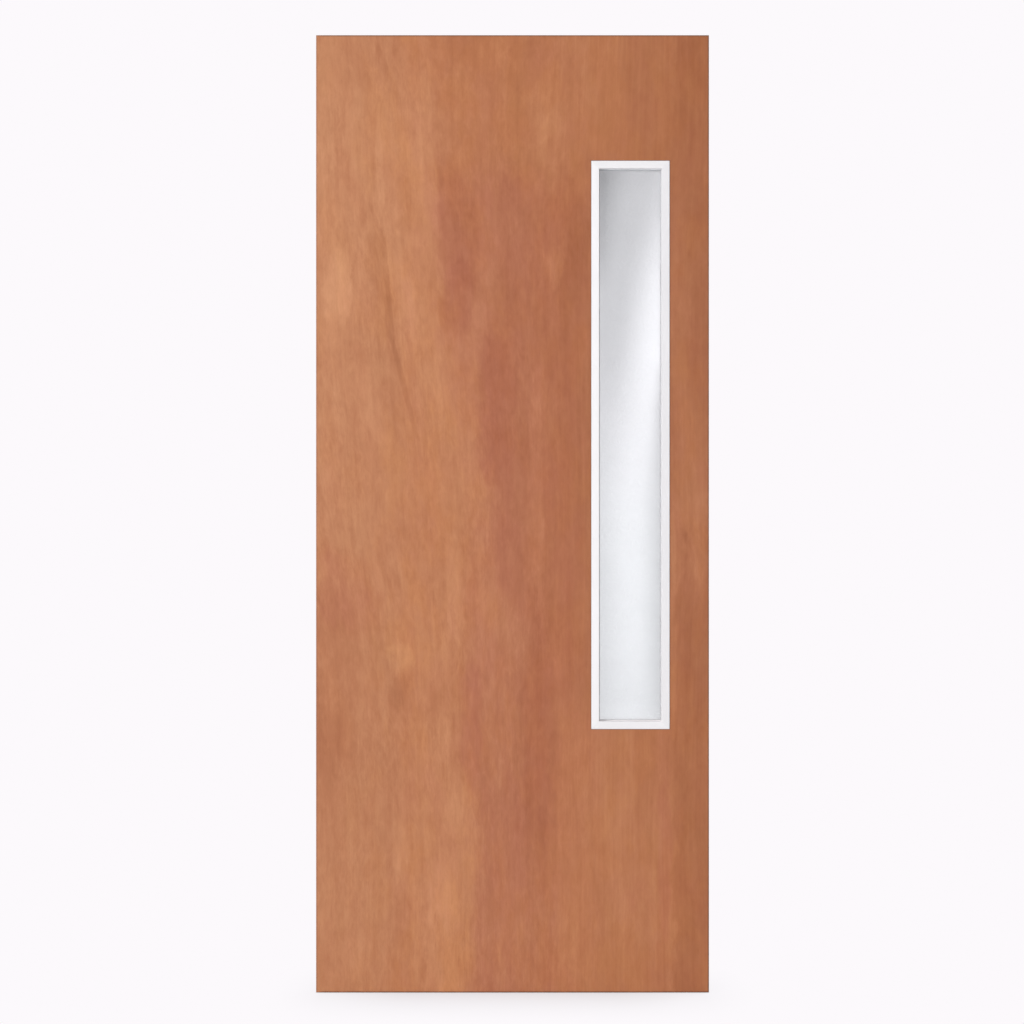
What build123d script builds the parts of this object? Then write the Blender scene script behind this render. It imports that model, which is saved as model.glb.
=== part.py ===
from build123d import *
import os

# A flush fire door leaf, 44 mm thick, with one tall, narrow glazed vision panel beside its lock edge.
# The origin is on the hinge edge, at floor level, in the middle of the thickness.
# X runs from the hinge edge to the lock edge, the front face looks along -Y, and Z is up. All sizes are in mm.

# Leaf
leaf_width = 813
leaf_height = 1981
leaf_thickness = 44
facing_thickness = 4
arris_radius = 1.5

# Frame inside the leaf
lipping_thickness = 8
stile_width = 35
top_rail_height = 45
bottom_rail_height = 70
trimmer_width = 40

# Vision panel: its place is that of the beads, which are what shows
bead_to_lock_edge = 81.5
bead_to_top_edge = 260
bead_frame_width = 162
bead_frame_height = 1176

# Glazing beads
bead_face_width = 16
bead_lip_overlap = 4
bead_proud = 3
bead_lip_edge = 1.5
bead_clearance = 0.25
bead_outer_radius = 0.8
bead_sight_radius = 1.2
bead_heel_chamfer = 2

# Glass and what it is bedded on
glass_thickness = 7
glass_edge_chamfer = 0.5
glass_edge_gap = 2
seal_width = 10
seal_thickness = 2
liner_thickness = 2
liner_depth = 40
setting_block_length = 30
setting_block_inset = 20

# What follows from the sizes above
core_thickness = leaf_thickness - 2 * facing_thickness
frame_height = leaf_height - top_rail_height - bottom_rail_height
stile_inner_hinge = lipping_thickness + stile_width
stile_inner_lock = leaf_width - lipping_thickness - stile_width

bead_frame_right = leaf_width - bead_to_lock_edge
bead_frame_left = bead_frame_right - bead_frame_width
bead_frame_top = leaf_height - bead_to_top_edge
bead_frame_bottom = bead_frame_top - bead_frame_height
panel_x = (bead_frame_left + bead_frame_right) / 2
panel_z = (bead_frame_bottom + bead_frame_top) / 2

aperture_width = bead_frame_width - 2 * bead_lip_overlap
aperture_height = bead_frame_height - 2 * bead_lip_overlap
aperture_left = bead_frame_left + bead_lip_overlap
aperture_right = bead_frame_right - bead_lip_overlap
aperture_bottom = bead_frame_bottom + bead_lip_overlap
aperture_top = bead_frame_top - bead_lip_overlap

glass_setback = liner_thickness + glass_edge_gap
glass_width = aperture_width - 2 * glass_setback
glass_height = aperture_height - 2 * glass_setback
glass_bottom = aperture_bottom + glass_setback
glass_top = aperture_top - glass_setback
bead_back = glass_thickness / 2 + seal_thickness

os.makedirs("parts", exist_ok=True)


def export(piece, name):
    piece.part.label = name
    export_step(piece.part, f"parts/{name}.step")


# Facing: one sheet of plywood over the whole leaf, cut out for the vision panel, with its outer arrises eased.
with BuildPart() as front_facing:
    with BuildSketch(Plane.XZ.offset(core_thickness / 2)):
        with Locations((leaf_width / 2, leaf_height / 2)):
            Rectangle(leaf_width, leaf_height)
        with Locations((panel_x, panel_z)):
            Rectangle(aperture_width, aperture_height, mode=Mode.SUBTRACT)
    extrude(amount=facing_thickness)
    show_face = front_facing.faces().sort_by(Axis.Y)[0]
    fillet(show_face.outer_wire().edges(), radius=arris_radius)
export(front_facing, "front_facing")

with BuildPart() as back_facing:
    mirror(front_facing.part, about=Plane.XZ)
export(back_facing, "back_facing")


def core_member(name, left, right, bottom, top):
    """A straight piece between the two facings."""
    with BuildPart() as member:
        with BuildSketch(Plane.XZ):
            with Locations(((left + right) / 2, (bottom + top) / 2)):
                Rectangle(right - left, top - bottom)
        extrude(amount=core_thickness / 2, both=True)
    export(member, name)


# Hardwood lippings: full-height strips glued to the long edges, under the facings.
core_member("hinge_edge_lipping", 0, lipping_thickness, 0, leaf_height)
core_member("lock_edge_lipping", leaf_width - lipping_thickness, leaf_width, 0, leaf_height)

# Stiles and rails: the softwood frame that the screws of hinges and locks bite into.
core_member("hinge_stile", lipping_thickness, stile_inner_hinge, 0, leaf_height)
core_member("lock_stile", stile_inner_lock, leaf_width - lipping_thickness, 0, leaf_height)
core_member("top_rail", stile_inner_hinge, stile_inner_lock, leaf_height - top_rail_height, leaf_height)
core_member("bottom_rail", stile_inner_hinge, stile_inner_lock, 0, bottom_rail_height)

# Trimmers: full-height posts each side of the aperture, with a head and a sill housed between them.
post_bottom = bottom_rail_height
post_top = bottom_rail_height + frame_height
core_member("aperture_post_hinge_side", aperture_left - trimmer_width, aperture_left, post_bottom, post_top)
core_member("aperture_post_lock_side", aperture_right, stile_inner_lock, post_bottom, post_top)
core_member("aperture_head", aperture_left, aperture_right, aperture_top, aperture_top + trimmer_width)
core_member("aperture_sill", aperture_left, aperture_right, aperture_bottom - trimmer_width, aperture_bottom)

# Core: particle boards that fill the bays of the frame.
core_member("core_main_bay", stile_inner_hinge, aperture_left - trimmer_width, post_bottom, post_top)
core_member("core_over_glazing", aperture_left, aperture_right, aperture_top + trimmer_width, post_top)
core_member("core_under_glazing", aperture_left, aperture_right, post_bottom, aperture_bottom - trimmer_width)

# Aperture liner: one intumescent strip wrapped round the inside of the aperture.
with BuildPart() as aperture_liner:
    with BuildSketch(Plane.XZ):
        with Locations((panel_x, panel_z)):
            Rectangle(aperture_width, aperture_height)
            Rectangle(
                aperture_width - 2 * liner_thickness,
                aperture_height - 2 * liner_thickness,
                mode=Mode.SUBTRACT,
            )
    extrude(amount=liner_depth / 2, both=True)
export(aperture_liner, "aperture_liner")

# Glass: a flat fire-resisting pane with its sharp edges taken off.
with BuildPart() as glass_pane:
    with BuildSketch(Plane.XZ):
        with Locations((panel_x, panel_z)):
            Rectangle(glass_width, glass_height)
    extrude(amount=glass_thickness / 2, both=True)
    pane_faces = glass_pane.faces().filter_by(Axis.Y)
    chamfer(pane_faces.edges(), length=glass_edge_chamfer)
export(glass_pane, "glass_pane")

# Setting blocks: two hardwood pads that carry the pane's weight on the liner.
for side, x in (
    ("hinge_side", panel_x - glass_width / 2 + setting_block_inset + setting_block_length / 2),
    ("lock_side", panel_x + glass_width / 2 - setting_block_inset - setting_block_length / 2),
):
    with BuildPart() as setting_block:
        with BuildSketch(Plane.XY.offset(glass_bottom - glass_edge_gap)):
            with Locations((x, 0)):
                Rectangle(setting_block_length, 2 * bead_back)
        extrude(amount=glass_edge_gap)
    export(setting_block, f"setting_block_{side}")


def glazing_seal(face, name, x, z, width, height):
    """A strip of glazing tape on one face of the pane: face is -1 at the front and 1 at the back."""
    with BuildPart() as seal:
        with BuildSketch(Plane.XZ.offset(-face * (glass_thickness + seal_thickness) / 2)):
            with Locations((x, z)):
                Rectangle(width, height)
        extrude(amount=seal_thickness / 2, both=True)
    export(seal, name)


# Glazing seals: the head and sill strips run through, and the side strips butt between them.
side_strip_height = glass_height - 2 * seal_width
side_strip_offset = (glass_width - seal_width) / 2
for front_or_back, face in (("front", -1), ("back", 1)):
    glazing_seal(face, f"{front_or_back}_seal_head", panel_x, glass_top - seal_width / 2, glass_width, seal_width)
    glazing_seal(face, f"{front_or_back}_seal_sill", panel_x, glass_bottom + seal_width / 2, glass_width, seal_width)
    for side, x in (("hinge_side", panel_x - side_strip_offset), ("lock_side", panel_x + side_strip_offset)):
        glazing_seal(face, f"{front_or_back}_seal_{side}", x, panel_z, seal_width, side_strip_height)


def glazing_bead(seat, length, name):
    """A hardwood bead, mitred at both ends. Its seat plane lies on the leaf's face, with its origin at the
    middle of the bead's outer edge, X along the bead, Y towards the glass and Z out of the leaf."""
    body_start = bead_lip_overlap + liner_thickness + bead_clearance
    body_foot = bead_back - leaf_thickness / 2
    with BuildPart() as bead:
        with BuildSketch(Plane(seat.origin, x_dir=seat.y_dir, z_dir=seat.x_dir)) as section:
            with BuildLine():
                Polyline(
                    (0, 0),
                    (0, bead_lip_edge),
                    (bead_face_width, bead_proud),
                    (bead_face_width, body_foot),
                    (body_start, body_foot),
                    (body_start, 0),
                    close=True,
                )
            make_face()
            corners = section.vertices()
            lip_corner = corners.sort_by_distance((0, bead_lip_edge))[0]
            sight_corner = corners.sort_by_distance((bead_face_width, bead_proud))[0]
            heel_corner = corners.sort_by_distance((body_start, body_foot))[0]
            chamfer(heel_corner, length=bead_heel_chamfer)
            fillet(lip_corner, radius=bead_outer_radius)
            fillet(sight_corner, radius=bead_sight_radius)
        extrude(amount=length / 2, both=True)
        for end in (-1, 1):
            mitre = Plane(seat.from_local_coords((end * length / 2, 0, 0)), z_dir=end * seat.x_dir + seat.y_dir)
            split(bisect_by=mitre, keep=Keep.BOTTOM)
    export(bead, name)


# Glazing beads: four to each face, mitred at the corners and pinned to the posts, head and sill.
for front_or_back, out in (("front", Vector(0, -1, 0)), ("back", Vector(0, 1, 0))):
    face_y = out.Y * leaf_thickness / 2
    for side, middle, towards_glass, length in (
        ("head", (panel_x, face_y, bead_frame_top), Vector(0, 0, -1), bead_frame_width),
        ("sill", (panel_x, face_y, bead_frame_bottom), Vector(0, 0, 1), bead_frame_width),
        ("hinge_side", (bead_frame_left, face_y, panel_z), Vector(1, 0, 0), bead_frame_height),
        ("lock_side", (bead_frame_right, face_y, panel_z), Vector(-1, 0, 0), bead_frame_height),
    ):
        seat = Plane(middle, x_dir=towards_glass.cross(out), z_dir=out)
        glazing_bead(seat, length, f"{front_or_back}_bead_{side}")
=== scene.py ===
import bpy
import math
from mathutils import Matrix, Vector


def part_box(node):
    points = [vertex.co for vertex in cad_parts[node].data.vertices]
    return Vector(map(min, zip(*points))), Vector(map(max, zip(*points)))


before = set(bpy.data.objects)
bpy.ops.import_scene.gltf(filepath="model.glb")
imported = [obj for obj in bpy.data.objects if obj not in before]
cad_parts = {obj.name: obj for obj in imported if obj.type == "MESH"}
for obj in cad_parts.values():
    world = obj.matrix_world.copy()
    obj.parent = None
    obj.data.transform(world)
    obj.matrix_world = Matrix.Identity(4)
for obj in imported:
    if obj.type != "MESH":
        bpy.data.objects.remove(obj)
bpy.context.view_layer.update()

# Stiles, rails and lippings. Redwood stiles, rails, posts, head and sill make the frame inside the leaf and
# hold its screws and beads. Hardwood lippings close the long edges. All are sawn straight, planed and glued.

# For each timber: its spring wood, its summer wood, its year rings to the metre and how strongly they show.
TIMBERS = {
    "hardwood_lipping": ((0.360, 0.150, 0.068, 1), (0.190, 0.066, 0.028, 1), 420.0, 0.45),
    "redwood_frame": ((0.640, 0.420, 0.225, 1), (0.430, 0.225, 0.092, 1), 300.0, 0.75),
    "hardwood_block": ((0.420, 0.220, 0.105, 1), (0.260, 0.120, 0.052, 1), 620.0, 0.35),
}
WOOD_SHINE = 0.35


def place(tree, kind, sockets=None, **settings):
    """Adds a node, sets its properties, and links or fills its sockets by name or number."""
    made = tree.nodes.new("ShaderNode" + kind)
    for name, value in settings.items():
        setattr(made, name, value)
    for name, value in (sockets or {}).items():
        if isinstance(value, bpy.types.NodeSocket):
            tree.links.new(value, made.inputs[name])
        else:
            made.inputs[name].default_value = value
    return made


def reckon(tree, operation, *values, clamp=False):
    """One sum on numbers or sockets."""
    return place(tree, "Math", dict(enumerate(values)), operation=operation, use_clamp=clamp).outputs[0]


def times(tree, value, other):
    return reckon(tree, "MULTIPLY", value, other)


def less(tree, value, other):
    return reckon(tree, "SUBTRACT", value, other)


def plus(tree, value, extra, share):
    """A value with a share of another added."""
    return reckon(tree, "MULTIPLY_ADD", extra, share, value)


def ruffle(tree, value, uneven, by, clamp=False):
    """A value made uneven, by up to half of an amount either way."""
    return reckon(tree, "MULTIPLY_ADD", less(tree, uneven, 0.5), by, value, clamp=clamp)


def ease(tree, value, start, end, low=0.0, high=1.0):
    """A soft step: low where the value is at start, high where it is at end."""
    sockets = {"Value": value, "From Min": start, "From Max": end, "To Min": low, "To Max": high}
    return place(tree, "MapRange", sockets, interpolation_type="SMOOTHSTEP").outputs[0]


def stain(tree, amount, under, over, blend_type="MIX"):
    """Lays one colour over another by an amount."""
    sockets = {0: amount, 6: under, 7: over}
    return place(tree, "Mix", sockets, data_type="RGBA", blend_type=blend_type).outputs[2]


def at(tree, x, y, z):
    return place(tree, "CombineXYZ", {0: x, 1: y, 2: z}).outputs[0]


def figure(tree, where, detail=3.0, roughness=0.5, distortion=0.0, scale=1.0):
    """Natural unevenness, from 0 to 1 and mostly near a half."""
    sockets = {"Vector": where, "Scale": scale, "Detail": detail, "Roughness": roughness,
               "Distortion": distortion}
    return place(tree, "TexNoise", sockets).outputs[0]


def node_group(name, takes, gives):
    """An empty shader group with named inputs and outputs, and its two end nodes."""
    group = bpy.data.node_groups.new(name, "ShaderNodeTree")
    for socket, kind in takes.items():
        group.interface.new_socket(socket, in_out="INPUT", socket_type="NodeSocket" + kind)
    for socket, kind in gives.items():
        group.interface.new_socket(socket, in_out="OUTPUT", socket_type="NodeSocket" + kind)
    return group, group.nodes.new("NodeGroupInput").outputs, group.nodes.new("NodeGroupOutput").inputs


def finish_of(name):
    """A new material, its node tree and its principled shader."""
    made = bpy.data.materials.new(name)
    made.use_nodes = True
    return made, made.node_tree, made.node_tree.nodes["Principled BSDF"]


def surface(tree, shader, color, roughness, height, depth, strength):
    """Feeds the shader its colour, its roughness and a relief of a depth in metres."""
    tree.links.new(color, shader.inputs["Base Color"])
    tree.links.new(roughness, shader.inputs["Roughness"])
    bump = place(tree, "Bump", {"Strength": strength, "Distance": depth, "Height": height})
    tree.links.new(bump.outputs[0], shader.inputs["Normal"])


def dress(nodes, coat):
    for node in nodes:
        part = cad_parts[node]
        part.data.materials.clear()
        part.data.materials.append(coat)


# Each piece is cut from its own place in the log, so its year rings show as lines along its sides and as
# arcs on its ends.
log, given, out = node_group(
    "Sawn Timber",
    {"Position": "Vector", "Heart": "Vector", "Rings": "Float", "Ring Contrast": "Float",
     "Spring Wood": "Color", "Summer Wood": "Color"},
    {"Color": "Color", "Roughness": "Float", "Height": "Float"},
)
from_heart = place(log, "VectorMath", {0: given["Position"], 1: given["Heart"]}, operation="SUBTRACT")
x, y, z = place(log, "SeparateXYZ", {0: from_heart.outputs[0]}).outputs
slow = figure(log, at(log, times(log, x, 9.0), times(log, y, 9.0), times(log, z, 1.1)), 3.0, 0.55)
squares = [reckon(log, "POWER", reckon(log, "ABSOLUTE", side), 2.0) for side in (x, y)]
radius = reckon(log, "SQRT", reckon(log, "ADD", *squares))
radius = ruffle(log, radius, slow, 0.022)
year = reckon(log, "FRACT", times(log, radius, given["Rings"]))
ring = times(log, ease(log, year, 0.15, 0.86), ease(log, year, 1.0, 0.93))
hair = figure(log, at(log, times(log, x, 1500.0), times(log, y, 1500.0), times(log, z, 22.0)), 3.0, 0.6)
summer = ruffle(log, times(log, ring, given["Ring Contrast"]), hair, 0.55, clamp=True)
color = stain(log, summer, given["Spring Wood"], given["Summer Wood"])
color = stain(log, ease(log, slow, 0.35, 0.70, 0.0, 0.16), color, given["Summer Wood"])
log.links.new(color, out["Color"])
log.links.new(ease(log, ring, 0.0, 1.0, 0.62, 0.48), out["Roughness"])
log.links.new(plus(log, hair, ring, 0.5), out["Height"])


def timber_coat(name, kind, heart, grain_upright=True):
    """One board of a kind of timber. Its heart is the log's centre line, given beside the board."""
    spring, summer, rings, contrast = TIMBERS[kind]
    coat, tree, shader = finish_of(name)
    spot = place(tree, "TexCoord").outputs["Object"]
    if not grain_upright:
        lie = place(tree, "SeparateXYZ", {0: spot}).outputs
        spot = at(tree, lie[2], lie[1], lie[0])
    sockets = {"Position": spot, "Heart": heart, "Rings": rings, "Ring Contrast": contrast,
               "Spring Wood": spring, "Summer Wood": summer}
    board = place(tree, "Group", sockets, node_tree=log).outputs
    surface(tree, shader, board["Color"], board["Roughness"], board["Height"], depth=0.0004, strength=0.22)
    shader.inputs["Specular IOR Level"].default_value = WOOD_SHINE
    return coat


for node, kind, heart, upright in (
    ("hinge_edge_lipping", "hardwood_lipping", (-0.050, 0.030, 0.0), True),
    ("lock_edge_lipping", "hardwood_lipping", (0.870, -0.024, 0.0), True),
    ("hinge_stile", "redwood_frame", (0.060, -0.055, 0.0), True),
    ("lock_stile", "redwood_frame", (0.742, 0.048, 0.0), True),
    ("aperture_post_hinge_side", "redwood_frame", (0.520, -0.060, 0.0), True),
    ("aperture_post_lock_side", "redwood_frame", (0.700, 0.060, 0.0), True),
    ("top_rail", "redwood_frame", (2.010, 0.052, 0.0), False),
    ("bottom_rail", "redwood_frame", (-0.030, -0.050, 0.0), False),
    ("aperture_head", "redwood_frame", (1.700, 0.050, 0.0), False),
    ("aperture_sill", "redwood_frame", (0.560, 0.055, 0.0), False),
):
    dress([node], timber_coat(node + "_timber", kind, heart, upright))

# Core boards. The bays of the frame are filled with boards of pressed and glued wood particles, cut to size
# and bonded between the facings.
CHIP_PALE = (0.600, 0.440, 0.270, 1)
CHIP_DARK = (0.310, 0.185, 0.090, 1)


def stretch(tree, where, x, y, z):
    return place(tree, "VectorMath", {0: where, 1: (x, y, z)}, operation="MULTIPLY").outputs[0]


coat, tree, shader = finish_of("particle_board")
flakes = stretch(tree, place(tree, "TexCoord").outputs["Object"], 260.0, 900.0, 170.0)
chips = place(tree, "TexVoronoi", {"Vector": flakes, "Scale": 1.0, "Randomness": 1.0}, feature="F1").outputs
chip = place(tree, "SeparateColor", {0: chips["Color"]}).outputs[0]
dust = figure(tree, flakes, 4.0, 0.65, scale=3.0)
color = stain(tree, chip, CHIP_PALE, CHIP_DARK)
color = stain(tree, times(tree, dust, 0.5), color, CHIP_PALE)
roughness = ease(tree, chips["Distance"], 0.0, 1.0, 0.9, 0.7)
surface(tree, shader, color, roughness, chips["Distance"], depth=0.0005, strength=0.4)
dress(["core_main_bay", "core_over_glazing", "core_under_glazing"], coat)

# Plywood facings. Each face of the leaf is one 4 mm sheet of redwood-coloured three-ply, glued over the
# frame and core, with its rotary-peeled veneer running upright and its outer arrises eased with fine paper.
# The back sheet was peeled next after the front one, so it has the same marks, laid head to foot.
VENEER_DARK = (0.352, 0.112, 0.043, 1)
VENEER_MIDDLE = (0.459, 0.168, 0.073, 1)
VENEER_PALE = (0.584, 0.247, 0.118, 1)
VENEER_PALEST = (0.646, 0.287, 0.141, 1)
PLUM_TINT = (1.0, 0.915, 1.09, 1)
OLIVE_TINT = (0.975, 1.045, 1.03, 1)
AMBER_TINT = (1.025, 1.0, 0.875, 1)
PORE_BROWN = (0.240, 0.085, 0.040, 1)
CROSSBAND = (0.560, 0.360, 0.200, 1)
GLUE_LINE = (0.090, 0.035, 0.018, 1)
WORN_AND_SHADED_ARRIS = (0.190, 0.070, 0.032, 1)
JOINT_DIRT_AND_SHADE = (0.120, 0.095, 0.085, 1)

facing_low, facing_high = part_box("front_facing")
LEAF_WIDTH = facing_high.x - facing_low.x
LEAF_HEIGHT = facing_high.z - facing_low.z
SHOW_FACE = -facing_low.y
panel_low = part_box("front_bead_sill")[0]
panel_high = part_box("front_bead_head")[1]
PANEL_CENTRE = ((panel_low.x + panel_high.x) / 2, (panel_low.z + panel_high.z) / 2)
PANEL_HALF = ((panel_high.x - panel_low.x) / 2, (panel_high.z - panel_low.z) / 2)

# How deep under the show face the face ply ends and the inner ply starts, how softly their colours meet the
# crossband's on each side of that, and half a glue line.
FACE_PLY = 0.00100
INNER_PLY = 0.00295
PLY_SIDE = 0.00005
BAND_SIDE = 0.00010
HALF_GLUE_LINE = 0.00014

# How far in from an edge the arris is darkened by wear and by painted shade, and how deep: where the
# darkening starts, and where it is full.
WEAR_AND_SHADE_INWARD = (0.0038, 0.0010)
WEAR_AND_SHADE_DEPTH = (0.0022, 0.0012)

# The log's sapwood, the wood between and its heartwood lie side by side, from the hinge edge. These are the
# heights up the leaf, and there the distances from the hinge edge, at which one gives way to the next.
SAPWOOD_EDGE = ((0.00, 0.318), (0.14, 0.322), (0.32, 0.345), (0.42, 0.322), (0.60, 0.302), (0.75, 0.312),
                (0.93, 0.316), (1.02, 0.340), (1.10, 0.325), (1.20, 0.292), (1.32, 0.270), (1.42, 0.254),
                (1.52, 0.250), (1.62, 0.246), (1.75, 0.254), (1.87, 0.240), (1.981, 0.236))
HEARTWOOD_EDGE = ((0.00, 0.420), (0.30, 0.420), (0.48, 0.418), (0.62, 0.405), (0.74, 0.435), (0.82, 0.390),
                  (0.92, 0.364), (1.02, 0.378), (1.09, 0.350), (1.15, 0.338), (1.32, 0.338), (1.41, 0.352),
                  (1.47, 0.300), (1.55, 0.255), (1.981, 0.240))

# How far the grain has wandered from upright, at heights up the leaf.
GRAIN_DRIFT = ((0.00, 0.000), (0.50, 0.010), (0.95, 0.040), (1.50, 0.085), (1.981, 0.115))
GRAIN_DRIFT_MIDDLE = 0.050

# Marks of the veneer: across, up, half width, half height, lean, how much paler, how much more plum.
VENEER_MARKS = (
    (0.046, 1.455, 0.029, 0.078, 0.00, 0.34, 0.05),
    (0.030, 1.590, 0.026, 0.070, 0.00, 0.06, 0.00),
    (0.141, 1.380, 0.022, 0.230, 0.14, -0.18, -0.10),
    (0.149, 1.450, 0.0060, 0.130, 0.09, -0.19, -0.10),
    (0.179, 1.265, 0.0055, 0.120, 0.26, -0.20, -0.05),
    (0.123, 1.600, 0.0045, 0.050, 0.37, -0.12, 0.00),
    (0.190, 1.435, 0.018, 0.070, 0.08, 0.14, 0.00),
    (0.131, 1.715, 0.008, 0.075, 0.05, 0.16, 0.00),
    (0.191, 1.640, 0.006, 0.060, 0.05, -0.10, 0.00),
    (0.212, 1.740, 0.010, 0.110, 0.05, 0.10, 0.00),
    (0.030, 1.745, 0.012, 0.040, 0.05, 0.12, 0.00),
    (0.140, 1.920, 0.008, 0.055, 0.35, -0.14, 0.00),
    (0.150, 1.960, 0.100, 0.060, 0.00, -0.08, 0.00),
    (0.252, 1.270, 0.009, 0.090, 0.05, 0.13, -0.05),
    (0.105, 1.220, 0.010, 0.070, 0.25, 0.10, 0.00),
    (0.090, 0.970, 0.012, 0.050, 0.10, 0.11, 0.00),
    (0.025, 0.620, 0.060, 0.250, 0.00, -0.12, 0.20),
    (0.020, 0.530, 0.034, 0.080, 0.00, -0.12, 0.05),
    (0.145, 0.800, 0.008, 0.110, 0.28, 0.08, 0.00),
    (0.128, 0.750, 0.007, 0.045, 0.30, -0.10, 0.00),
    (0.174, 0.695, 0.028, 0.030, 0.10, 0.22, -0.35),
    (0.170, 0.618, 0.016, 0.040, 0.00, -0.26, -0.05),
    (0.288, 0.830, 0.018, 0.110, 0.05, 0.19, 0.10),
    (0.262, 0.530, 0.015, 0.055, 0.00, 0.13, 0.00),
    (0.282, 0.385, 0.018, 0.055, 0.00, 0.14, 0.00),
    (0.172, 0.300, 0.020, 0.060, 0.00, 0.15, -0.05),
    (0.264, 0.195, 0.030, 0.090, 0.00, 0.20, 0.00),
    (0.090, 0.075, 0.025, 0.050, 0.00, 0.10, 0.10),
    (0.320, 0.550, 0.022, 0.130, 0.00, -0.09, 0.45),
    (0.350, 0.600, 0.007, 0.035, 0.00, 0.10, 0.00),
    (0.327, 0.880, 0.007, 0.050, 0.05, -0.08, 0.00),
    (0.380, 1.220, 0.038, 0.140, 0.00, -0.09, 0.32),
    (0.455, 1.060, 0.014, 0.260, 0.02, 0.18, 0.00),
    (0.494, 1.500, 0.016, 0.042, 0.00, 0.20, -0.10),
    (0.352, 1.560, 0.024, 0.130, 0.00, 0.11, 0.00),
    (0.545, 1.540, 0.024, 0.120, 0.00, -0.07, 0.00),
    (0.480, 1.830, 0.040, 0.065, 0.00, 0.09, 0.00),
    (0.305, 1.955, 0.034, 0.030, 0.00, -0.10, 0.00),
    (0.430, 1.955, 0.032, 0.022, 0.00, -0.14, 0.00),
    (0.458, 0.490, 0.027, 0.290, 0.00, -0.11, 0.15),
    (0.462, 0.350, 0.020, 0.040, 0.00, -0.06, 0.00),
    (0.395, 0.300, 0.045, 0.150, 0.00, -0.03, 0.25),
    (0.600, 0.320, 0.075, 0.100, 0.00, 0.05, 0.00),
    (0.752, 1.420, 0.022, 0.230, 0.00, 0.18, 0.00),
    (0.778, 1.070, 0.036, 0.160, 0.00, 0.26, -0.05),
    (0.738, 0.760, 0.009, 0.190, 0.00, 0.17, 0.00),
    (0.295, 1.440, 0.034, 0.080, 0.05, -0.22, 0.40),
    (0.722, 0.280, 0.014, 0.170, 0.00, -0.03, 0.50),
    (0.290, 0.080, 0.062, 0.130, 0.00, 0.17, 0.00),
    (0.312, 0.320, 0.024, 0.110, 0.00, 0.14, 0.00),
    (0.462, 1.250, 0.016, 0.045, 0.00, 0.12, 0.00),
    (0.485, 1.765, 0.032, 0.060, 0.00, 0.15, 0.00),
    (0.226, 0.725, 0.038, 0.130, 0.05, 0.11, 0.00),
    (0.226, 0.300, 0.040, 0.220, 0.00, 0.07, 0.00),
    (0.665, 0.170, 0.045, 0.080, 0.00, 0.08, 0.00),
    (0.445, 0.860, 0.014, 0.060, 0.00, 0.10, 0.00),
    (0.062, 0.825, 0.062, 0.090, 0.12, -0.07, 0.50),
    (0.445, 0.090, 0.080, 0.190, 0.00, 0.12, 0.00),
    (0.600, 0.420, 0.060, 0.120, 0.00, 0.07, 0.00),
    (0.797, 0.950, 0.016, 0.130, 0.00, 0.14, 0.00),
    (0.744, 0.930, 0.014, 0.090, 0.00, 0.24, 0.00),
)

# Where the knife met the log at another depth: a soft mark with a ragged outline, drawn out along the grain.
# The power squares its corners a little.
MARK_POWER = 2.4
mark_takes = ("Across", "Along", "Rag Across", "Rag Along", "Centre Across", "Centre Along", "Half Width",
              "Half Length", "Lean")
mark, given, out = node_group("Veneer Mark", dict.fromkeys(mark_takes, "Float"), {"Mask": "Float"})
along = less(mark, given["Along"], given["Centre Along"])
across = less(mark, given["Across"], given["Centre Across"])
across = plus(mark, across, along, given["Lean"])
across = reckon(mark, "ADD", reckon(mark, "DIVIDE", across, given["Half Width"]), given["Rag Across"])
along = reckon(mark, "ADD", reckon(mark, "DIVIDE", along, given["Half Length"]), given["Rag Along"])
across = reckon(mark, "POWER", reckon(mark, "ABSOLUTE", across), MARK_POWER)
along = reckon(mark, "POWER", reckon(mark, "ABSOLUTE", along), MARK_POWER)
mark.links.new(ease(mark, reckon(mark, "ADD", across, along), 1.7, 0.1), out["Mask"])

sheet, given, out = node_group("Peeled Veneer", {"Position": "Vector", "Seed": "Float"},
                               {"Color": "Color", "Roughness": "Float", "Height": "Float"})
x, y, z = place(sheet, "SeparateXYZ", {0: given["Position"]}).outputs
seed = given["Seed"]


def line_through(points, height):
    """A smooth line through points that are given by heights up the leaf."""
    curve = place(sheet, "FloatCurve", {"Value": reckon(sheet, "DIVIDE", height, LEAF_HEIGHT)})
    line = curve.mapping.curves[0]
    line.points[0].location = (0.0, points[0][1])
    line.points[-1].location = (1.0, points[-1][1])
    for up, value in points[1:-1]:
        line.points.new(up / LEAF_HEIGHT, value)
    curve.mapping.update()
    return curve.outputs[0]


# The grain leans on the hinge side and straightens towards the lock side.
drift = figure(sheet, at(sheet, times(sheet, x, 2.6), seed, times(sheet, z, 1.3)), 2.0)
leaning = ease(sheet, x, 0.05, 0.60, 1.0, 0.0)
grain = plus(sheet, x, leaning, less(sheet, line_through(GRAIN_DRIFT, z), GRAIN_DRIFT_MIDDLE))
grain = ruffle(sheet, grain, drift, 0.05)


def unevenness(across, along, shift, **kind):
    """Unevenness of the sheet, so fine across and along the grain, with a place of its own in the noise."""
    where = at(sheet, times(sheet, grain, across), reckon(sheet, "ADD", seed, shift), times(sheet, z, along))
    return figure(sheet, where, **kind)


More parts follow.
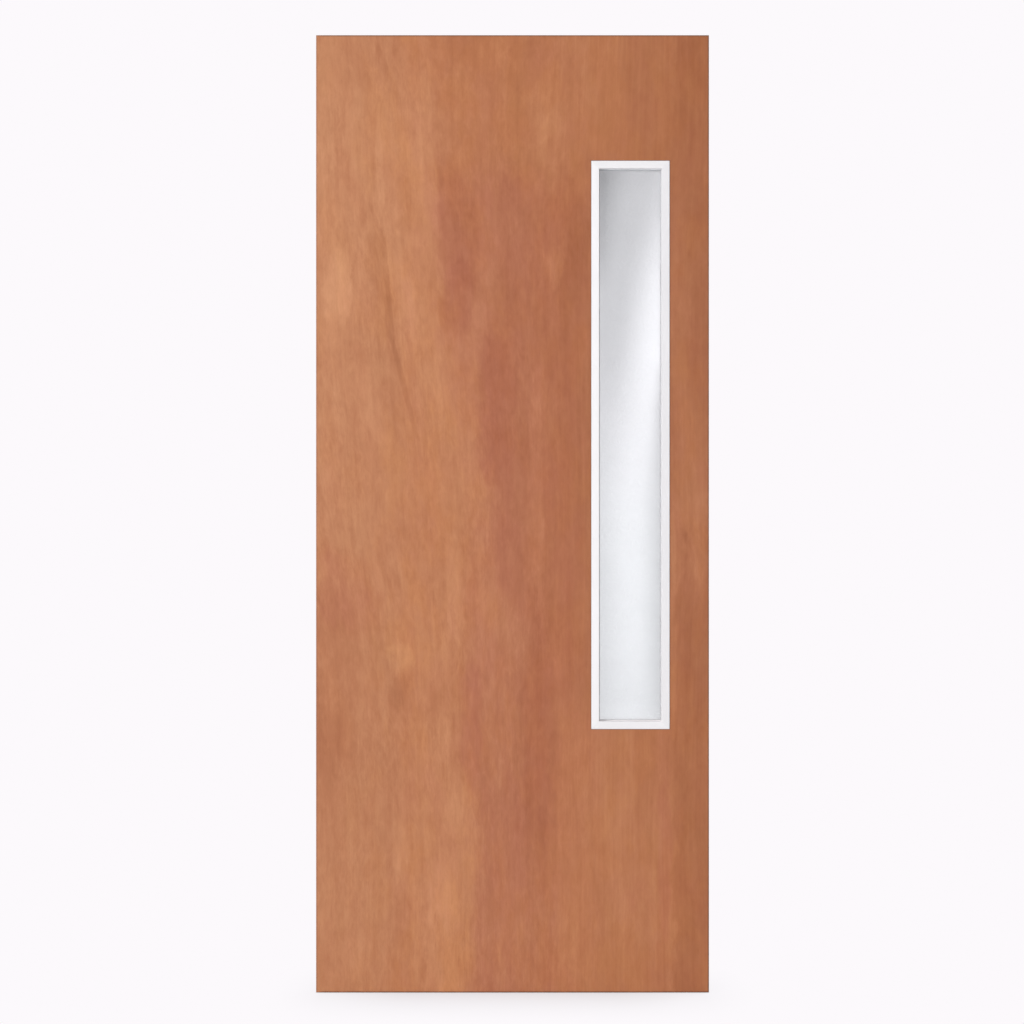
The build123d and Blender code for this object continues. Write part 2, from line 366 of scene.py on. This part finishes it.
clouds = unevenness(across=6.0, along=2.6, shift=1.0, detail=4.0, roughness=0.55, distortion=0.7)
blotches = unevenness(across=26.0, along=11.0, shift=2.0, detail=5.0, roughness=0.62, distortion=0.4)
mottle = unevenness(across=75.0, along=30.0, shift=3.0, detail=4.0, roughness=0.6, distortion=0.4)
streaks = unevenness(across=58.0, along=3.0, shift=4.0, detail=6.0, roughness=0.66)
flecks = unevenness(across=180.0, along=52.0, shift=5.0, detail=3.0, roughness=0.6)
fibres = unevenness(across=480.0, along=18.0, shift=6.0, detail=4.0, roughness=0.65)
lines = unevenness(across=120.0, along=1.1, shift=12.0, detail=4.0, roughness=0.6)
pores = ease(sheet, unevenness(across=1400.0, along=110.0, shift=7.0, detail=1.0), 0.66, 0.76)

# The borders are ragged, so they are read at a place that wanders a little.
WANDERS_ACROSS = 0.036
WANDERS_ALONG = 0.150
rag = less(sheet, unevenness(across=44.0, along=18.0, shift=8.0, detail=4.0, roughness=0.6), 0.5)
rag_along = less(sheet, blotches, 0.5)
x_rag = plus(sheet, x, rag, WANDERS_ACROSS)
z_rag = plus(sheet, z, rag_along, WANDERS_ALONG)


def past(edge, softness):
    """From 0 before a border to 1 past it."""
    beyond = less(sheet, x_rag, line_through(edge, z_rag))
    return ease(sheet, reckon(sheet, "DIVIDE", beyond, softness), -1.0, 1.0)


def part_way(amount, start, end):
    return place(sheet, "Mix", {0: amount, 2: start, 3: end}, data_type="FLOAT").outputs[0]


# Heartwood is darkest beside the panel, paler over it and paler again under it, with a dark band along the
# lock edge. Each zone comes in between two heights, or two distances from the hinge edge.
OVER_PANEL = (1.60, 1.76)
UNDER_PANEL = (0.66, 0.52)
PANEL_FOOT = (0.75, 1.15)
PANEL_HEAD = (1.74, 1.62)
LOCK_HALF = (0.488, 0.515)
LOCK_CORNER = (0.632, 0.642)
LOCK_BAND = (0.735, 0.750)
over = ease(sheet, z_rag, *OVER_PANEL)
under = ease(sheet, z_rag, *UNDER_PANEL)
beside = times(sheet, ease(sheet, z_rag, *PANEL_FOOT), ease(sheet, z_rag, *PANEL_HEAD))
lock_half = ease(sheet, x_rag, *LOCK_HALF)
lock_under = times(sheet, lock_half, under)
heartwood = plus(sheet, ease(sheet, z_rag, 0.50, 0.15, 0.345, 0.455), over, 0.145)
heartwood = plus(sheet, heartwood, lock_under, 0.16)
heartwood = plus(sheet, heartwood, times(sheet, lock_half, beside), -0.09)
heartwood = plus(sheet, heartwood, times(sheet, over, ease(sheet, x, *LOCK_CORNER)), -0.12)
band = ease(sheet, z_rag, 0.45, 0.60, 0.31, 0.22)
heartwood = part_way(ease(sheet, x_rag, *LOCK_BAND), heartwood, band)
between = ease(sheet, z_rag, 0.45, 0.80, 0.50, 0.60)
sapwood = ease(sheet, z_rag, 0.70, 1.70, 0.60, 0.76)
sapwood = reckon(sheet, "ADD", sapwood, ease(sheet, z_rag, 0.50, 0.12, 0.0, 0.10))
sapwood = reckon(sheet, "ADD", sapwood, ease(sheet, z_rag, 1.82, 1.94, 0.0, -0.06))

# The border of the sapwood is sharp above mid height and blurs towards the head and the foot.
heart_softness = ease(sheet, z, 1.10, 1.00, 0.010, 0.020)
heart_softness = reckon(sheet, "ADD", heart_softness, ease(sheet, z, 1.32, 1.42, 0.0, 0.014))
sap_softness = ease(sheet, z, 1.38, 1.50, 0.028, 0.013)
sap_softness = reckon(sheet, "ADD", sap_softness, ease(sheet, z, 1.64, 1.78, 0.0, 0.015))
in_heart = past(HEARTWOOD_EDGE, heart_softness)
off_sap = past(SAPWOOD_EDGE, sap_softness)
tone = part_way(off_sap, sapwood, part_way(in_heart, between, heartwood))

# The middle of the heartwood and the wood before it are plum, and the sapwood at the hinge edge is olive.
core = times(sheet, ease(sheet, x_rag, 0.600, 0.500), ease(sheet, z_rag, 1.74, 1.64))
core = times(sheet, in_heart, core)
core = times(sheet, core, ease(sheet, z_rag, 0.05, 0.60, 0.5, 1.0))
plum = plus(sheet, ease(sheet, x_rag, 0.13, 0.20, -0.34, 0.06), core, 0.50)
plum = plus(sheet, plum, off_sap, 0.08)
plum = plus(sheet, plum, reckon(sheet, "SUBTRACT", off_sap, in_heart, clamp=True), 0.30)

# The marks' outlines are ragged, by these shares of their width and length.
MARK_RAG_ACROSS = 1.6
MARK_RAG_ALONG = 1.5
outline_across = times(sheet, rag, MARK_RAG_ACROSS)
outline_along = times(sheet, rag_along, MARK_RAG_ALONG)
for centre_x, centre_z, half_width, half_length, lean, paler, plummer in VENEER_MARKS:
    sockets = {"Across": x, "Along": z, "Rag Across": outline_across, "Rag Along": outline_along,
               "Centre Across": centre_x, "Centre Along": centre_z, "Half Width": half_width,
               "Half Length": half_length, "Lean": lean}
    mask = place(sheet, "Group", sockets, node_tree=mark).outputs["Mask"]
    tone = plus(sheet, tone, mask, paler)
    plum = plus(sheet, plum, mask, plummer)

# The figure is lively in places and calm in others, and towards the lock side it runs out in straight lines.
FIGURE_CALMS = (0.44, 0.58)
calm = ease(sheet, x, *FIGURE_CALMS, 1.0, 0.55)
straight = ease(sheet, x, *FIGURE_CALMS)
waves = unevenness(across=10.0, along=5.0, shift=11.0)
lively = times(sheet, ease(sheet, waves, 0.40, 0.60, 0.5, 1.5), calm)
for uneven, amount, share in (
    (clouds, 0.18, 1.0),
    (blotches, 0.52, 1.0),
    (streaks, 0.55, 1.0),
    (mottle, 0.60, calm),
    (flecks, 0.28, lively),
    (fibres, 0.17, lively),
    (lines, 0.34, straight),
):
    tone = plus(sheet, tone, times(sheet, less(sheet, uneven, 0.5), share), amount)
hue = unevenness(across=20.0, along=8.0, shift=9.0, detail=5.0, roughness=0.6)
plum = ruffle(sheet, plum, hue, 1.3)

# Amber comes in patches, least at the hinge edge and most where the heartwood is pale.
patches = unevenness(across=14.0, along=6.0, shift=10.0, detail=5.0, roughness=0.62)
amber = ease(sheet, patches, 0.42, 0.70, -0.05, 0.90)
amber = times(sheet, amber, ease(sheet, x_rag, 0.06, 0.18, 0.40, 1.0))
toasted = times(sheet, over, ease(sheet, x_rag, 0.24, 0.30))
toasted = reckon(sheet, "MAXIMUM", lock_under, toasted)
amber = plus(sheet, amber, toasted, 0.52)
amber = plus(sheet, amber, times(sheet, core, ease(sheet, x_rag, 0.42, 0.47)), 0.50)
sap_amber = times(sheet, ease(sheet, x_rag, 0.15, 0.20), ease(sheet, off_sap, 0.0, 1.0, 1.0, 0.2))
amber = plus(sheet, amber, sap_amber, 0.30)

body = place(sheet, "ValToRGB", {0: times(sheet, tone, 0.8)})
stops = body.color_ramp.elements
stops[0].position, stops[0].color = 0.0, VENEER_DARK
stops[1].position, stops[1].color = 1.0, VENEER_PALEST
stops.new(0.40).color = VENEER_MIDDLE
stops.new(0.80).color = VENEER_PALE
color = body.outputs[0]
color = stain(sheet, reckon(sheet, "MULTIPLY", plum, 1.0, clamp=True), color, PLUM_TINT, "MULTIPLY")
color = stain(sheet, reckon(sheet, "MULTIPLY", plum, -1.0, clamp=True), color, OLIVE_TINT, "MULTIPLY")
color = stain(sheet, amber, color, AMBER_TINT, "MULTIPLY")
color = stain(sheet, times(sheet, pores, 0.22), color, PORE_BROWN)
sheet.links.new(color, out["Color"])
sheet.links.new(ease(sheet, fibres, 0.25, 0.75, 0.58, 0.46), out["Roughness"])
sheet.links.new(plus(sheet, fibres, pores, -0.6), out["Height"])

# On the sheet's edges its three plies show, with a dark glue line each side of the crossband.
edge, given, out = node_group("Plywood Edge", {"Position": "Vector", "Veneer": "Color"}, {"Color": "Color"})
spot = given["Position"]
x, y, z = place(edge, "SeparateXYZ", {0: spot}).outputs
depth = less(edge, SHOW_FACE, reckon(edge, "ABSOLUTE", y))
ply = times(edge, ease(edge, depth, FACE_PLY - PLY_SIDE, FACE_PLY + BAND_SIDE),
            ease(edge, depth, INNER_PLY + PLY_SIDE, INNER_PLY - BAND_SIDE))
glue = [ease(edge, reckon(edge, "ABSOLUTE", less(edge, depth, ply_end)), HALF_GLUE_LINE, 0.0)
        for ply_end in (FACE_PLY, INNER_PLY)]
cells = figure(edge, stretch(edge, spot, 240.0, 2400.0, 240.0), 3.0, 0.6)
band = stain(edge, ease(edge, cells, 0.3, 0.75, 0.0, 0.55), CROSSBAND, VENEER_MIDDLE)
color = stain(edge, ply, given["Veneer"], band)
color = stain(edge, times(edge, reckon(edge, "ADD", *glue), 0.7), color, GLUE_LINE)

# The arris is dark partly from wear, as sanding opens the cells there so they take the lacquer dark,
# unevenly, and partly from painted shade on its rounded edge, least at the hinge edge, which faces the light.
from_side = less(edge, LEAF_WIDTH / 2, reckon(edge, "ABSOLUTE", less(edge, x, LEAF_WIDTH / 2)))
from_end = less(edge, LEAF_HEIGHT / 2, reckon(edge, "ABSOLUTE", less(edge, z, LEAF_HEIGHT / 2)))
arris_wear_and_shade = times(edge, ease(edge, reckon(edge, "MINIMUM", from_side, from_end), *WEAR_AND_SHADE_INWARD),
              ease(edge, depth, *WEAR_AND_SHADE_DEPTH))
arris_wear_and_shade = times(edge, arris_wear_and_shade, ease(edge, figure(edge, spot, 3.0, 0.6, scale=60.0), 0.3, 0.6, 0.60, 0.90))
arris_wear_and_shade = times(edge, arris_wear_and_shade, ease(edge, x, 0.004, 0.020, 0.45, 1.0))
color = stain(edge, arris_wear_and_shade, color, WORN_AND_SHADED_ARRIS)

# A thin dark line along the glazing beads: partly fine dirt and lacquer gathered in the joint, partly painted
# shade where the beads' lip meets the facing.
beside = less(edge, reckon(edge, "ABSOLUTE", less(edge, x, PANEL_CENTRE[0])), PANEL_HALF[0])
above = less(edge, reckon(edge, "ABSOLUTE", less(edge, z, PANEL_CENTRE[1])), PANEL_HALF[1])
joint_dirt_and_shade = ease(edge, reckon(edge, "MAXIMUM", beside, above), 0.0013, 0.0005)
color = stain(edge, times(edge, joint_dirt_and_shade, 0.85), color, JOINT_DIRT_AND_SHADE)
edge.links.new(color, out["Color"])

# The front sheet is laid foot down, and the back one foot up. Each has a figure of its own.
for node, laid, first_height, sheet_seed in (
    ("front_facing", 1.0, 0.0, 3.1),
    ("back_facing", -1.0, LEAF_HEIGHT, 17.4),
):
    coat, tree, shader = finish_of(node + "_veneer")
    spot = place(tree, "TexCoord").outputs["Object"]
    x, y, z = place(tree, "SeparateXYZ", {0: spot}).outputs
    peeled_at = at(tree, x, y, reckon(tree, "MULTIPLY_ADD", z, laid, first_height))
    veneer = place(tree, "Group", {"Position": peeled_at, "Seed": sheet_seed}, node_tree=sheet).outputs
    edged = place(tree, "Group", {"Position": spot, "Veneer": veneer["Color"]}, node_tree=edge).outputs
    surface(tree, shader, edged["Color"], veneer["Roughness"], veneer["Height"], depth=0.0004, strength=0.18)
    shader.inputs["Specular IOR Level"].default_value = WOOD_SHINE
    dress([node], coat)

# Aperture liner and glazing tape. The liner is a dark strip that swells in a fire, glued round the aperture.
# Soft pale grey tape beds the pane against the beads on both faces and shows as a thin line round the sight.
LINER = (0.045, 0.043, 0.042, 1)
TAPE = (0.680, 0.680, 0.695, 1)
SOIL = (0.20, 0.19, 0.19, 1)
FOAM_PIT = (0.10, 0.10, 0.10, 1)
BEAD_PAINT = (0.965, 0.927, 0.935, 1)
SILL_TAPE_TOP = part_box("front_seal_sill")[1].z
LOCK_TAPE_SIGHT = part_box("front_seal_lock_side")[0].x
HINGE_TAPE_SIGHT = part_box("front_seal_hinge_side")[1].x

# How far from the tape's sight edges the painted highlight and the painted shade on it fade out, and how near
# they are full.
TOUCH_FADES = 0.0015
TOUCH_FULL = 0.0005

strip, given, out = node_group("Foamed Strip", {"Position": "Vector", "Tint": "Color"},
                               {"Color": "Color", "Roughness": "Float", "Height": "Float"})
foam = figure(strip, given["Position"], 4.0, 0.65, scale=1400.0)
soil = figure(strip, given["Position"], 3.0, 0.6, scale=60.0)
color = stain(strip, ease(strip, soil, 0.35, 0.75, 0.0, 0.12), given["Tint"], SOIL)
color = stain(strip, ease(strip, foam, 0.5, 0.75, 0.0, 0.15), color, FOAM_PIT)
strip.links.new(color, out["Color"])
strip.links.new(ease(strip, foam, 0.3, 0.7, 0.7, 0.9), out["Roughness"])
strip.links.new(foam, out["Height"])

coat, tree, shader = finish_of("intumescent_strip")
spot = place(tree, "TexCoord").outputs["Object"]
foamed = place(tree, "Group", {"Position": spot, "Tint": LINER}, node_tree=strip).outputs
surface(tree, shader, foamed["Color"], foamed["Roughness"], foamed["Height"], depth=0.0003, strength=0.3)
dress(["aperture_liner"], coat)

# The tape along the sill is painted near white, a painted highlight where the light from above falls on it,
# and the tape down the hinge side is painted darker, a painted shade cast by the hinge-side bead.
coat, tree, shader = finish_of("glazing_tape")
spot = place(tree, "TexCoord").outputs["Object"]
foamed = place(tree, "Group", {"Position": spot, "Tint": TAPE}, node_tree=strip).outputs
x, y, z = place(tree, "SeparateXYZ", {0: spot}).outputs
# Painted highlight on the sill tape, where the light from above falls on it.
low = ease(tree, z, SILL_TAPE_TOP + TOUCH_FADES, SILL_TAPE_TOP + TOUCH_FULL)
off_lock_side = ease(tree, x, LOCK_TAPE_SIGHT + TOUCH_FULL, LOCK_TAPE_SIGHT - TOUCH_FADES, 0.0, 0.9)
# Painted shade on the hinge-side tape, where the hinge-side bead shades it.
hinge_side_shade = ease(tree, x, HINGE_TAPE_SIGHT + TOUCH_FADES, HINGE_TAPE_SIGHT - TOUCH_FADES, 0.0, 0.45)
color = stain(tree, times(tree, low, off_lock_side), foamed["Color"], BEAD_PAINT)
color = stain(tree, hinge_side_shade, color, JOINT_DIRT_AND_SHADE)
surface(tree, shader, color, foamed["Roughness"], foamed["Height"], depth=0.0003, strength=0.3)
for face in ("front", "back"):
    dress([f"{face}_seal_{side}" for side in ("head", "sill", "hinge_side", "lock_side")], coat)

# Setting blocks. Two small pads of sawn hardwood lie loose on the liner under the pane, near its lower
# corners. They carry its weight and keep its edge off the liner.
for node, heart in (
    ("setting_block_hinge_side", (0.540, 0.030, 0.0)),
    ("setting_block_lock_side", (0.560, -0.030, 0.0)),
):
    dress([node], timber_coat(node + "_timber", "hardwood_block", heart, grain_upright=False))

# Glass. One flat pane of rolled fire-resisting glass, 7 mm thick, its faces slightly uneven and satin, its
# edges ground and hidden in the beads. It lets a soft pale light through and blurs what is behind it.
GLASS_TINT = (0.930, 0.938, 0.950, 1)
GLASS_FILM = (0.880, 0.888, 0.900, 1)
GLASS_IOR = 1.5
coat, tree, shader = finish_of("satin_fire_glass")
spot = place(tree, "TexCoord").outputs["Object"]
ripple = figure(tree, spot, 2.0, 0.5, scale=16.0)
frost = figure(tree, spot, 2.0, 0.6, scale=2200.0)
rolled = figure(tree, spot, 1.5, 0.45, scale=190.0)
color = stain(tree, ease(tree, ripple, 0.35, 0.70, 0.0, 0.5), GLASS_TINT, GLASS_FILM)
satin = ease(tree, ripple, 0.3, 0.7, 0.36, 0.42)
surface(tree, shader, color, satin, plus(tree, rolled, frost, 0.02), depth=0.0009, strength=1.0)
shader.inputs["Transmission Weight"].default_value = 1.0
shader.inputs["IOR"].default_value = GLASS_IOR
dress(["glass_pane"], coat)

# Glazing beads. Hardwood mouldings with a splayed face and a small lip over the facing, mitred at the
# corners, pinned round both faces of the pane and sprayed white in satin paint, through which the grain
# shows as faint lines.
BEAD_SHADE = (0.640, 0.620, 0.620, 1)
BEAD_SHINE = 0.4


paint, given, out = node_group(
    "Bead Paint",
    {"Position": "Vector", "Along": "Float", "Across": "Float", "Seed": "Float"},
    {"Color": "Color", "Roughness": "Float", "Height": "Float"},
)
x, y, z = place(paint, "SeparateXYZ", {0: given["Position"]}).outputs
wood = at(paint, times(paint, given["Across"], 900.0), plus(paint, given["Seed"], y, 900.0),
          times(paint, given["Along"], 14.0))
lines = figure(paint, wood, 3.0, 0.6)
spray = figure(paint, given["Position"], 3.0, 0.6, scale=700.0)
cloud = figure(paint, given["Position"], 3.0, 0.5, scale=9.0)

# The mitre opens as a hairline where two beads meet, at the same distance from both outer edges.
from_side = less(paint, PANEL_HALF[0], reckon(paint, "ABSOLUTE", less(paint, x, PANEL_CENTRE[0])))
from_end = less(paint, PANEL_HALF[1], reckon(paint, "ABSOLUTE", less(paint, z, PANEL_CENTRE[1])))
mitre = ease(paint, reckon(paint, "ABSOLUTE", less(paint, from_side, from_end)), 0.00055, 0.00010)
# A painted shade in a thin line along the beads' outer edge, where the lip meets the facing.
rim_shade = ease(paint, reckon(paint, "MINIMUM", from_side, from_end), 0.0005, 0.0)

color = stain(paint, ease(paint, cloud, 0.35, 0.70, 0.0, 0.06), BEAD_PAINT, BEAD_SHADE)
color = stain(paint, ease(paint, lines, 0.55, 0.75, 0.0, 0.08), color, BEAD_SHADE)
color = stain(paint, times(paint, mitre, 0.16), color, BEAD_SHADE)
color = stain(paint, times(paint, rim_shade, 0.6), color, JOINT_DIRT_AND_SHADE)
relief = plus(paint, times(paint, spray, 0.4), lines, 0.6)
paint.links.new(color, out["Color"])
paint.links.new(ease(paint, spray, 0.3, 0.7, 0.42, 0.52), out["Roughness"])
paint.links.new(plus(paint, relief, mitre, -1.5), out["Height"])

for face, run, seed, sides in (
    ("front", "side", 2.0, ("hinge_side", "lock_side")),
    ("front", "cross", 6.0, ("head", "sill")),
    ("back", "side", 9.0, ("hinge_side", "lock_side")),
    ("back", "cross", 13.0, ("head", "sill")),
):
    coat, tree, shader = finish_of(f"{face}_{run}_bead_paint")
    spot = place(tree, "TexCoord").outputs["Object"]
    x, y, z = place(tree, "SeparateXYZ", {0: spot}).outputs
    along, across = (z, x) if run == "side" else (x, z)
    sockets = {"Position": spot, "Along": along, "Across": across, "Seed": seed}
    coated = place(tree, "Group", sockets, node_tree=paint).outputs
    surface(tree, shader, coated["Color"], coated["Roughness"], coated["Height"], depth=0.0004, strength=0.10)
    shader.inputs["Specular IOR Level"].default_value = BEAD_SHINE
    dress([f"{face}_bead_{side}" for side in sides], coat)

# Floor, backdrops and light. A plain white floor under a white studio, a large soft light from the left in
# front, and its match behind for the other face. The floor takes the leaf's soft shadow along its foot. What
# the satin glass lets through is a pale sheet that glows with painted light and painted shade, which stands
# just behind it and shows nowhere else.
STUDIO_WHITE = (0.973, 0.947, 0.973, 1)
STUDIO_FLOOR = (0.800, 0.870, 0.920, 1)
SHEET_WHITE = (1.006, 0.998, 1.030, 1)
SHEET_COOL = (0.992, 1.000, 1.025, 1)
FILL_WHITE = (1.0, 1.0, 1.0, 1)
FILL_STRENGTH = 0.50
FLOOR_HALF = 30
SHEET_BEHIND = 0.06
SHEET_SIDES = (0.45, 0.80)
SHEET_ENDS = (0.42, 1.86)


def stage_sheet(name, corners):
    mesh = bpy.data.meshes.new(name)
    mesh.from_pydata(corners, [], [(0, 1, 2, 3)])
    backdrop = bpy.data.objects.new(name, mesh)
    bpy.context.scene.collection.objects.link(backdrop)
    coat, tree, shader = finish_of(name + "_white")
    mesh.materials.append(coat)
    return tree, shader


def show(tree, amount, under, over):
    mixed = place(tree, "MixShader", {0: amount, 1: under, 2: over}).outputs[0]
    tree.links.new(mixed, tree.nodes["Material Output"].inputs["Surface"])


def seen_straight(tree):
    """1 for what the camera sees directly, mirrored or through glass."""
    path = place(tree, "LightPath").outputs
    return reckon(tree, "MAXIMUM", path["Is Camera Ray"],
                  reckon(tree, "MAXIMUM", path["Is Glossy Ray"], path["Is Transmission Ray"]))


tree, shader = stage_sheet("studio_floor", [(-FLOOR_HALF, -FLOOR_HALF, 0), (FLOOR_HALF, -FLOOR_HALF, 0),
                                            (FLOOR_HALF, FLOOR_HALF, 0), (-FLOOR_HALF, FLOOR_HALF, 0)])
shader.inputs["Base Color"].default_value = STUDIO_FLOOR
shader.inputs["Roughness"].default_value = 0.9
shader.inputs["Specular IOR Level"].default_value = 0.0

# The shadow fades away from the leaf, faster past its ends, and a thin dark line lies in the contact itself.
SHADE_REACH = 0.38
x, y, z = place(tree, "SeparateXYZ", {0: place(tree, "TexCoord").outputs["Object"]}).outputs
from_middle = reckon(tree, "ABSOLUTE", less(tree, x, LEAF_WIDTH / 2))
inside = less(tree, LEAF_WIDTH / 2, from_middle)
beside = reckon(tree, "MAXIMUM", times(tree, inside, -2.5), 0.0)
beside = reckon(tree, "ADD", beside, ease(tree, inside, 0.020, -0.005, 0.0, 0.10))
before = reckon(tree, "MAXIMUM", less(tree, reckon(tree, "ABSOLUTE", y), SHOW_FACE), 0.0)
away = place(tree, "VectorMath", {0: at(tree, beside, before, 0.0)}, operation="LENGTH").outputs["Value"]
near = reckon(tree, "SUBTRACT", 1.0, reckon(tree, "DIVIDE", away, SHADE_REACH), clamp=True)
near = reckon(tree, "POWER", near, 2.0)
shade = times(tree, near, ease(tree, inside, -0.01, 0.20, 0.16, 0.38))
contact = times(tree, ease(tree, before, 0.009, 0.001, 0.0, 0.60), ease(tree, inside, -0.002, 0.003))
share = less(tree, less(tree, 1.0, shade), contact)
glow = place(tree, "Emission", {"Color": STUDIO_WHITE, "Strength": 1.0})
show(tree, times(tree, seen_straight(tree), share), shader.outputs[0], glow.outputs[0])

# The sheet glows though it is no lamp, with painted light and shade: brightest along a painted band that
# leans to the lock side, brighter along its lock-side edge in the upper part, with a painted shade in its
# upper hinge-side corner, and a little darker towards the head and the foot.
GLOW_BAND_BENDS = 1.02
GLOW_BAND_FOOT = 0.662
GLOW_BAND_LEAN = 0.150
(left, right), (low, high) = SHEET_SIDES, SHEET_ENDS
tree, shader = stage_sheet("glass_backdrop", [(left, SHEET_BEHIND, low), (right, SHEET_BEHIND, low),
                                              (right, SHEET_BEHIND, high), (left, SHEET_BEHIND, high)])
x, y, z = place(tree, "SeparateXYZ", {0: place(tree, "TexCoord").outputs["Object"]}).outputs
# The painted band of light, which bends towards the lock side above a height.
over_bend = reckon(tree, "MAXIMUM", less(tree, z, GLOW_BAND_BENDS), 0.0)
off_glow_band = less(tree, x, reckon(tree, "MULTIPLY_ADD", over_bend, GLOW_BAND_LEAN, GLOW_BAND_FOOT))
far = ease(tree, z, GLOW_BAND_BENDS, 1.18, 0.055, 0.034)
glow_band = times(tree, ease(tree, off_glow_band, -0.095, -0.005), ease(tree, off_glow_band, far, 0.005))
glow_band_fades = times(tree, ease(tree, z, 1.68, 1.46, 0.4, 1.0), ease(tree, z, 1.15, 1.35, 1.0, 1.8))
glow_band_fades = times(tree, ease(tree, z, 0.50, 0.80, 0.65, 1.0), glow_band_fades)
glow_band = times(tree, glow_band, glow_band_fades)
level = times(tree, ease(tree, z, 1.14, 1.36, 0.765, 0.655), ease(tree, z, 1.36, 1.66, 1.0, 0.94))
# Painted shade in the upper hinge-side corner.
painted_shade_corner = ease(tree, reckon(tree, "MULTIPLY_ADD", z, -0.17, x), 0.374, 0.276)
painted_shade_corner = times(tree, painted_shade_corner, ease(tree, z, 1.437, 1.540))
level = plus(tree, level, painted_shade_corner, -0.34)
# Painted light along the lock-side edge of the upper part.
painted_light_flank = times(tree, ease(tree, x, 0.698, 0.722), ease(tree, z, 1.25, 1.34))
level = plus(tree, level, painted_light_flank, 0.10)
level = times(tree, level, ease(tree, z, 1.05, 0.62, 1.0, 0.945))
level = plus(tree, level, ease(tree, z, 0.610, 0.560), 0.035)
level = plus(tree, level, ease(tree, z, 1.66, 1.72), -0.05)
level = plus(tree, level, glow_band, 0.22)
tint = stain(tree, ease(tree, z, 1.25, 0.85), SHEET_WHITE, SHEET_COOL)
glow = place(tree, "Emission", {"Color": tint, "Strength": level})
clear = place(tree, "BsdfTransparent").outputs[0]
through = place(tree, "LightPath").outputs["Is Transmission Ray"]
show(tree, through, clear, glow.outputs[0])

world = bpy.data.worlds.new("white_studio")
world.use_nodes = True
bpy.context.scene.world = world
tree = world.node_tree
studio = tree.nodes["Background"]
studio.inputs["Color"].default_value = STUDIO_WHITE
studio.inputs["Strength"].default_value = 1.0
fill = place(tree, "Background", {"Color": FILL_WHITE, "Strength": FILL_STRENGTH})
sky = place(tree, "MixShader", {0: seen_straight(tree), 1: fill.outputs[0], 2: studio.outputs[0]})
tree.links.new(sky.outputs[0], tree.nodes["World Output"].inputs["Surface"])

LAMP_SIZE = 3.0
LAMP_POWER = 256.0
LAMP_AIM = Vector((0.40, 0.0, 0.95))


def soft_light(name, where):
    lamp = bpy.data.lights.new(name, "AREA")
    lamp.shape = "SQUARE"
    lamp.size = LAMP_SIZE
    lamp.energy = LAMP_POWER
    stand = bpy.data.objects.new(name, lamp)
    stand.location = where
    stand.rotation_mode = "QUATERNION"
    stand.rotation_quaternion = (LAMP_AIM - where).to_track_quat("-Z", "Y")
    stand.visible_transmission = False
    bpy.context.scene.collection.objects.link(stand)


soft_light("key_light", Vector((-3.6, -4.6, 1.05)))
soft_light("rear_light", Vector((4.4, 4.6, 1.05)))

# Camera. Straight on to the front face, about half way up and half way across the leaf, with a long lens,
# as in the photograph.
CAMERA_ACROSS = 0.4054
CAMERA_BEFORE = 5.908
CAMERA_UP = 0.9942
camera_data = bpy.data.cameras.new("camera")
camera_data.lens = 100.0
camera_data.sensor_width = 36.0
camera = bpy.data.objects.new("camera", camera_data)
camera.location = (CAMERA_ACROSS, -CAMERA_BEFORE, CAMERA_UP)
camera.rotation_euler = (math.radians(90.0), 0.0, 0.0)
bpy.context.scene.collection.objects.link(camera)
bpy.context.scene.camera = camera
bpy.context.scene.view_settings.view_transform = "Standard"
